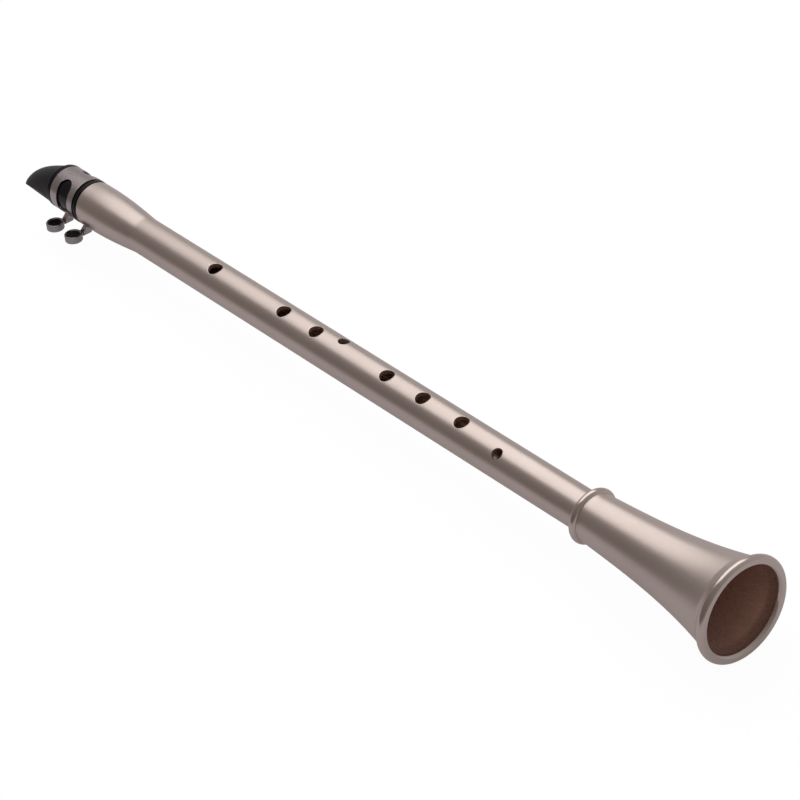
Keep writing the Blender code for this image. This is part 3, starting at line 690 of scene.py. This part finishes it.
rod_end = reed_end + REED_TIP_WIDTH
rod = [(reed_start - REED_TIP_WIDTH, reed_back(reed_start)), (band_front, reed_back(band_front))]
rod.append((rod_end, reed_back(rod_end)))
reed = lathe("cane_reed", rod, 96, closed=False)
side_view = [(reed_start, -table_drop(reed_start) - GAP), (reed_end, -table_drop(reed_end) - GAP)]
side_view.append((reed_end, -OUTSIDE))
side_view.append((reed_end - REED_STOCK, -OUTSIDE))
for step in range(21):
    place = mix(reed_end - REED_STOCK, reed_start, step / 20)
    flat = table_drop(place) + GAP
    full = reed_back(place) - flat
    thickness = mix(REED_TIP_THICKNESS, full, (1 - step / 20) ** 1.5)
    side_view.append((place, -flat - thickness))
carve(reed, drawn_slab("reed_side_view", side_view, OUTSIDE), "INTERSECT")
view_below = []
for step in range(25):
    angle = math.pi * (0.5 - step / 24)
    y = REED_TIP_WIDTH / 2 * math.sin(angle)
    into = TIP_RADIUS - math.sqrt(TIP_RADIUS ** 2 - y ** 2)
    view_below.append((reed_start + into, y))
view_below += [(rod_end, -REED_HEEL_WIDTH / 2), (rod_end, REED_HEEL_WIDTH / 2)]
below = drawn_slab("reed_view_from_below", view_below, 2 * OUTSIDE, level=True)
carve(reed, below, "INTERSECT")
soften(reed, REED_EASE, 1)
finish_with(reed, CANE)
shade(reed, 30)
settle(reed, HEAD_TURN)
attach(reed, "reed_body")
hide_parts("reed")
print("reed faces:", len(reed.data.polygons))

# %% [markdown]
# The ligature is a thin ring of sheet metal, open below the reed. A full ring is drawn out first,
# and the faces inside the opening are deleted. The long slot in each side is cut by a piece of a
# thicker ring with a round drill at each end.

# %% Ligature band
BAND_WALL = 0.0005
BAND_SPLIT = 0.0070
SLOT_WIDTH = 0.0082
SLOT_FROM_FRONT = 0.0048
SLOT_TOP = math.radians(22.0)
SLOT_BOTTOM = math.radians(141.0)
BAND_EASE = 0.00012


def angle_from_top(point):
    """Turn from the top of the mouthpiece towards the near side, in radians."""
    return math.atan2(-point.y, point.z)


def keep_sector(piece, first, last):
    """Deletes the faces of a ring outside two angles, and closes the ends."""
    only(piece)
    bpy.ops.object.mode_set(mode="EDIT")
    bpy.ops.mesh.select_all(action="DESELECT")
    bpy.ops.object.mode_set(mode="OBJECT")
    for face in piece.data.polygons:
        face.select = not first < angle_from_top(face.center) < last
    bpy.ops.object.mode_set(mode="EDIT")
    bpy.ops.mesh.delete(type="FACE")
    bpy.ops.mesh.select_all(action="SELECT")
    bpy.ops.mesh.fill_holes(sides=0)
    bpy.ops.mesh.normals_make_consistent(inside=False)
    bpy.ops.object.mode_set(mode="OBJECT")


rings = round((band_rear - band_front) / RING_SPACING)
ring_places = [mix(band_front, band_rear, ring / rings) for ring in range(rings + 1)]
band_wall = [(place, head_radius(place) + GAP + BAND_WALL) for place in ring_places]
band_wall += [(place, head_radius(place) + GAP) for place in reversed(ring_places)]
band = lathe("ligature_ring", band_wall + band_wall[:1], 160)
half_split = math.asin(BAND_SPLIT / 2 / head_radius(band_front))
keep_sector(band, half_split - math.pi, math.pi - half_split)
slot_middle = band_front + SLOT_FROM_FRONT + SLOT_WIDTH / 2
slot_radius = head_radius(slot_middle) + GAP
end_angle = SLOT_WIDTH / 2 / slot_radius
slot_low = slot_middle - SLOT_WIDTH / 2
slot_high = slot_middle + SLOT_WIDTH / 2
for side in (1, -1):
    inner = slot_radius / 2
    outer = slot_radius * 1.5
    ring = [(slot_low, inner), (slot_low, outer), (slot_high, outer), (slot_high, inner)]
    cutter = lathe("slot_cutter", ring + ring[:1], 160)
    ends = sorted((side * (SLOT_TOP + end_angle), side * (SLOT_BOTTOM - end_angle)))
    keep_sector(cutter, *ends)
    carve(band, cutter)
    for turn in ends:
        deselect()
        bpy.ops.mesh.primitive_cylinder_add(vertices=64, radius=SLOT_WIDTH / 2, depth=outer - inner)
        drill = bpy.context.object
        outward = Matrix.Translation((0, 0, (inner + outer) / 2))
        drill.matrix_world = Matrix.Translation((slot_middle, 0, 0)) @ Matrix.Rotation(turn, 4, "X") @ outward
        bpy.ops.object.transform_apply(location=True, rotation=True, scale=True)
        carve(band, drill)
soften(band, BAND_EASE, 2)
finish_with(band, LIGATURE_METAL)
shade(band)
settle(band, HEAD_TURN)
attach(band, "head")
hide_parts("ligature_band")
print("ligature faces:", len(band.data.polygons))

# %% [markdown]
# Below the band two pairs of small ears carry the screws. Each ear is a web that rises to the edge
# of the band, with a round eye along its foot. The web is drawn from the side and pulled out, the
# eye is joined to it, and both are shaped to the band with a cylinder and bored for the shank.

# %% Ears for the screws
SCREW_DROP = 0.0124
EAR_WIDTH = 0.0028
EYE_RADIUS = 0.00155
EAR_REACH = 0.0074
EAR_START = 0.0032
WEB_TOP = 0.0080
SHANK_RADIUS = 0.0010
EAR_EASE = 0.0003
FRONT_SCREW = BARREL_MOUTH - 0.0166
REAR_SCREW = BARREL_MOUTH - 0.0023


def rod_between(name, radius, start, end, turn, sides=64):
    """Round rod from one point to another; turn is its rotation from Z."""
    deselect()
    length = (Vector(end) - Vector(start)).length
    middle = (Vector(start) + Vector(end)) / 2
    bpy.ops.mesh.primitive_cylinder_add(vertices=sides, radius=radius, depth=length, location=middle,
                                        rotation=turn)
    rod = bpy.context.object
    rod.name = name
    bpy.ops.object.transform_apply(location=True, rotation=True, scale=True)
    return rod


def screw_ear(name, place, side):
    root = side * (EAR_START + GAP)
    reach = side * (EAR_REACH - GAP)
    outline = [(root, -SCREW_DROP), (reach, -SCREW_DROP), (reach, EYE_RADIUS / 2 - SCREW_DROP)]
    outline.append((root, -WEB_TOP))
    ear = drawn_slab(name, outline, EAR_WIDTH)
    ear.rotation_euler = (0, 0, math.pi / 2)
    ear.location = (place, 0, 0)
    only(ear)
    bpy.ops.object.transform_apply(location=True, rotation=True, scale=True)
    eye = rod_between("eye", EYE_RADIUS, (place, side * EAR_START, -SCREW_DROP),
                      (place, side * EAR_REACH, -SCREW_DROP), (math.pi / 2, 0, 0))
    carve(ear, eye, "UNION")
    relief = head_radius(band_rear) + GAP + BAND_WALL + GAP
    carve(ear, rod_between("relief", relief, (band_front - 0.02, 0, 0), (band_rear + 0.02, 0, 0),
                           (0, math.pi / 2, 0), 128))
    carve(ear, rod_between("bore", SHANK_RADIUS + GAP, (place, -0.02, -SCREW_DROP),
                           (place, 0.02, -SCREW_DROP), (math.pi / 2, 0, 0), 48))
    soften(ear, EAR_EASE, 3)
    finish_with(ear, LIGATURE_METAL)
    shade(ear)
    settle(ear, HEAD_TURN)
    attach(ear, "head")
    return ear


for row, place in (("front", FRONT_SCREW), ("rear", REAR_SCREW)):
    for label, side in (("near", -1), ("far", 1)):
        made = screw_ear(f"{row}_{label}_ear", place, side)
        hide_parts(f"{row}_{label}_lug")
print("ears made: 4")

# %% [markdown]
# A thumb screw has a thin shank and a head like a thick coin, which stands in line with the shank
# so that two fingers can turn it. Both faces of the coin are dished: they are inset and pushed in,
# and the polished rim stays proud.

# %% Thumb screws
COIN_RADIUS = 0.0040
COIN_THICKNESS = 0.0033
COIN_EASE = 0.0004
DISH_RIM = 0.0006
DISH_DEPTH = 0.00035
NECK_RADIUS = 0.0013
NECK_LENGTH = 0.0003
neck_start = -EAR_REACH - GAP
coin_middle = neck_start - NECK_LENGTH - COIN_RADIUS


def thumb_screw(name, place):
    deselect()
    bpy.ops.mesh.primitive_cylinder_add(vertices=96, radius=COIN_RADIUS, depth=COIN_THICKNESS,
                                        location=(place, coin_middle, -SCREW_DROP))
    screw = bpy.context.object
    screw.name = name
    bpy.ops.object.transform_apply(location=True, rotation=True, scale=True)
    soften(screw, COIN_EASE, 4)
    for face in screw.data.polygons:
        face.select = abs(face.normal.z) > 0.99 and len(face.vertices) > 4
    bpy.ops.object.mode_set(mode="EDIT")
    bpy.ops.mesh.select_mode(type="FACE")
    bpy.ops.mesh.inset(thickness=DISH_RIM - COIN_EASE, depth=0, use_individual=True)
    bpy.ops.mesh.inset(thickness=DISH_DEPTH, depth=-DISH_DEPTH, use_individual=True)
    bpy.ops.object.mode_set(mode="OBJECT")
    screw.data.materials.append(SCREW_METAL)
    screw.data.materials.append(DISH_PAINTED_DARK)
    # The dished faces take the near-black finish, which is a painted dark reflection.
    for face in screw.data.polygons:
        level = abs(face.center.z + SCREW_DROP)
        if abs(face.normal.z) > 0.99 and level < COIN_THICKNESS / 2 - DISH_DEPTH / 2:
            face.material_index = 1
    shank = rod_between("shank", SHANK_RADIUS, (place, neck_start - GAP, -SCREW_DROP),
                        (place, EAR_REACH, -SCREW_DROP), (math.pi / 2, 0, 0), 48)
    neck = rod_between("neck", NECK_RADIUS, (place, neck_start - 4 * NECK_LENGTH, -SCREW_DROP),
                       (place, neck_start, -SCREW_DROP), (math.pi / 2, 0, 0), 48)
    carve(neck, shank, "UNION")
    carve(screw, neck, "UNION")
    shade(screw)
    settle(screw, HEAD_TURN)
    return screw


for row, place in (("front", FRONT_SCREW), ("rear", REAR_SCREW)):
    screw = thumb_screw(f"{row}_coin_screw", place)
    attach(screw, f"{row}_screw")
    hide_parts(f"{row}_thumb_screw")
print("thumb screws made: 2")

# %% [markdown]
# The photograph has a plain white ground. The floor below the instrument looks white to the
# camera and to shiny surfaces, and it still takes the instrument's soft shadow, because only part
# of its brightness is its own glow.

# %% Floor
FLOOR_SIZE = 12.0
CAMERA_SHARE = 0.85
SHINE_SHARE = 0.2
deselect()
bpy.ops.mesh.primitive_plane_add(size=FLOOR_SIZE, location=(0, 0, 0))
floor = bpy.context.object
floor.name = "studio_floor"
white, white_tree, white_shader = new_finish("floor_white", 0.0, 1.0, (0.56, 0.52, 0.56))
rays = white_tree.nodes.new("ShaderNodeLightPath")
glow = add_node(white_tree, "ShaderNodeEmission", Color=(1, 1, 1, 1), Strength=1.13)
blend = add_node(white_tree, "ShaderNodeMixShader")
share = add_node(white_tree, "ShaderNodeMath")
share.operation = "MULTIPLY_ADD"
share.inputs[1].default_value = CAMERA_SHARE
shine = add_node(white_tree, "ShaderNodeMath")
shine.operation = "MULTIPLY"
shine.inputs[1].default_value = SHINE_SHARE
white_tree.links.new(rays.outputs["Is Glossy Ray"], shine.inputs[0])
white_tree.links.new(shine.outputs["Value"], share.inputs[2])
white_output = white_tree.nodes["Material Output"]
white_tree.links.new(rays.outputs["Is Camera Ray"], share.inputs[0])
white_tree.links.new(share.outputs["Value"], blend.inputs["Fac"])
white_tree.links.new(white_shader.outputs["BSDF"], blend.inputs[1])
white_tree.links.new(glow.outputs["Emission"], blend.inputs[2])
white_tree.links.new(blend.outputs["Shader"], white_output.inputs["Surface"])
floor.data.materials.append(white)

# %% [markdown]
# The light is one broad soft lamp above the far side, in a dim room that is warm and dark on the near
# side and paler on the far side. Round metal shows the room as long bands: the lamp gives the bright
# band along the top, the near side of the room the brown band, and the floor the pale one below it.

# %% Light
world = bpy.data.worlds.new("pale_room")
bpy.context.scene.world = world
world.use_nodes = True
room = world.node_tree
background = room.nodes["Background"]
background.inputs["Strength"].default_value = 1.0
NEAR_SIDE = (0.155, 0.130, 0.124, 1)
FAR_SIDE = (0.43, 0.42, 0.42, 1)
room_rays = room.nodes.new("ShaderNodeLightPath")
direction = room.nodes.new("ShaderNodeTexCoord")
parts_of_it = room.nodes.new("ShaderNodeSeparateXYZ")
sideways = add_node(room, "ShaderNodeMapRange")
sideways.inputs["From Min"].default_value = -1.0
shades = room.nodes.new("ShaderNodeValToRGB")
shades.color_ramp.elements[0].color = NEAR_SIDE
shades.color_ramp.elements[1].color = FAR_SIDE
seen = add_node(room, "ShaderNodeMix")
seen.data_type = "RGBA"
seen.inputs[7].default_value = (1, 1, 1, 1)
room.links.new(direction.outputs["Generated"], parts_of_it.inputs["Vector"])
room.links.new(parts_of_it.outputs["Y"], sideways.inputs["Value"])
room.links.new(sideways.outputs["Result"], shades.inputs["Fac"])
room.links.new(room_rays.outputs["Is Camera Ray"], seen.inputs["Factor"])
room.links.new(shades.outputs["Color"], seen.inputs[6])
room.links.new(seen.outputs[2], background.inputs["Color"])


def soft_lamp(name, place, target, width, length, power):
    """Rectangular lamp at a place, facing the target, with its length along the instrument."""
    lamp_data = bpy.data.lights.new(name, "AREA")
    lamp_data.shape = "RECTANGLE"
    lamp_data.size = length
    lamp_data.size_y = width
    lamp_data.energy = power
    lamp = bpy.data.objects.new(name, lamp_data)
    bpy.context.scene.collection.objects.link(lamp)
    lamp.location = place
    back = (Vector(place) - Vector(target)).normalized()
    along = Vector((1, 0, 0))
    up = back.cross(along).normalized()
    along = up.cross(back)
    lamp.matrix_world = Matrix.Translation(place) @ Matrix((along, up, back)).transposed().to_4x4()
    return lamp


centre = (0, 0, AXIS_HEIGHT)
soft_lamp("broad_top_lamp", (-0.40, 0.41, 0.97), centre, 1.45, 1.3, 6.3)
print("lamps:", len(bpy.data.lights))

# %% [markdown]
# The camera stands at the bell end, on the near side and above, and is rolled so that the
# instrument crosses the frame from corner to corner. Its place and lens were fitted to the
# photograph.

# %% Camera
CAMERA_PLACE = Vector((0.8621, -0.4596, 0.8452))
CAMERA_AIM = Vector((-0.65987, 0.36515, -0.65669))
CAMERA_ROLL = math.radians(-17.73)
LENS = 142.6
camera_data = bpy.data.cameras.new("catalogue_camera")
camera_data.lens = LENS
camera_data.sensor_width = 36.0
camera_data.sensor_fit = "HORIZONTAL"
camera_data.clip_start = 0.01
camera = bpy.data.objects.new("catalogue_camera", camera_data)
bpy.context.scene.collection.objects.link(camera)
aim = CAMERA_AIM.normalized()
level = aim.cross(Vector((0, 0, 1))).normalized()
upright = level.cross(aim)
right = level * math.cos(CAMERA_ROLL) + upright * math.sin(CAMERA_ROLL)
up = right.cross(aim)
turn = Matrix((right, up, -aim)).transposed().to_4x4()
camera.matrix_world = Matrix.Translation(CAMERA_PLACE) @ turn
bpy.context.scene.camera = camera
bpy.context.scene.view_settings.view_transform = "Standard"

# %% [markdown]
# Last, the selection is cleared.

# %% Finish
deselect()
